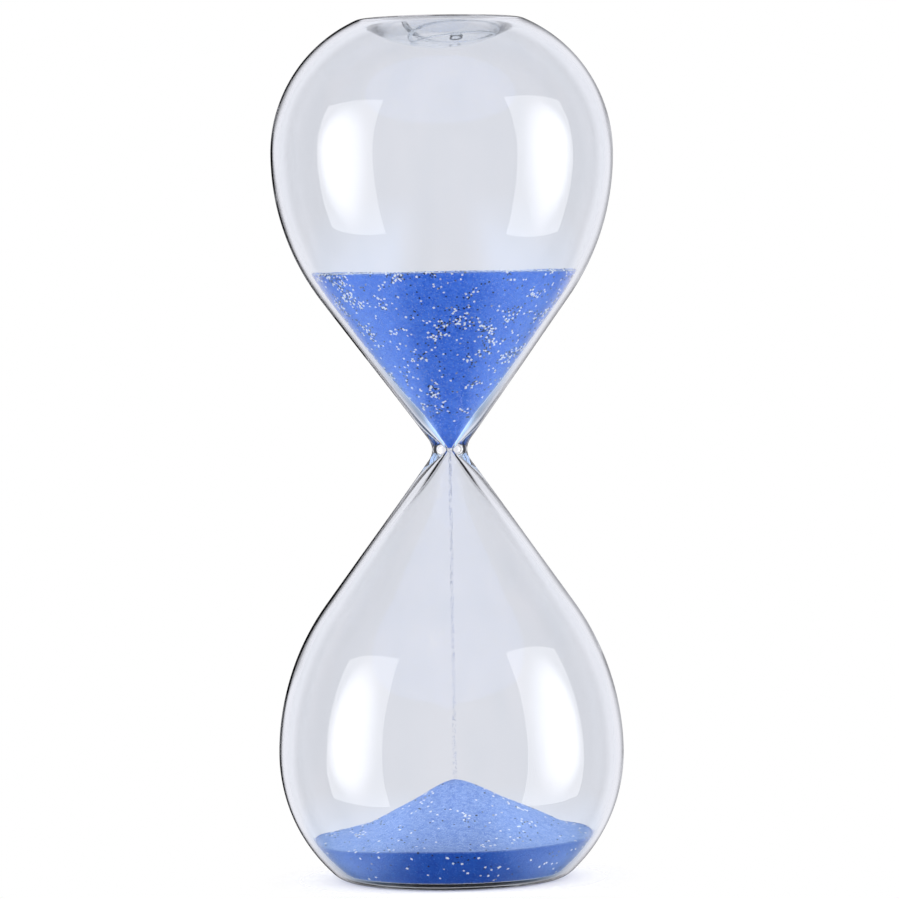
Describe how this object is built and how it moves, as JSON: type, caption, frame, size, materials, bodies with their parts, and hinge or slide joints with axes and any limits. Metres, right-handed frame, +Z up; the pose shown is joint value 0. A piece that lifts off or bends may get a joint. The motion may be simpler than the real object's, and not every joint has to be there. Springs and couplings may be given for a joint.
{
  "type": "hourglass",
  "caption": "Frameless blown-glass hourglass: clear bulbs with dished ends, welded at a narrow neck, holding fine sand that runs in a thin stream onto a heap.",
  "frame": {"origin": "middle of the ring that the lower bulb stands on, in the plane of the table", "axes": "+Z up along the glass's axis through the throat; +X to the right; +Y away from the viewer; the filling seal in the upper end lies towards +X"},
  "size_m": [0.0802, 0.0802, 0.2],
  "materials": {
    "clear_glass": "polished",
    "seal_glass": "polished",
    "dyed_sand": "matte"
  },
  "bodies": {
    "glass": {"upper_bulb": "clear_glass", "lower_bulb": "clear_glass", "neck": "clear_glass", "fill_plug": "seal_glass", "falling_sand": "dyed_sand"},
    "upper_charge": {"upper_sand": "dyed_sand"},
    "lower_charge": {"lower_sand": "dyed_sand"}
  },
  "joints": [
    {"name": "upper_sand_drop", "type": "slide", "parent": "glass", "child": "upper_charge", "axis": [0, 0, 1], "range_m": [0, 0.0465]},
    {"name": "lower_sand_drop", "type": "slide", "parent": "glass", "child": "lower_charge", "axis": [0, 0, 1], "range_m": [0, 0.0425], "deforming": ["falling_sand"]}
  ]
}
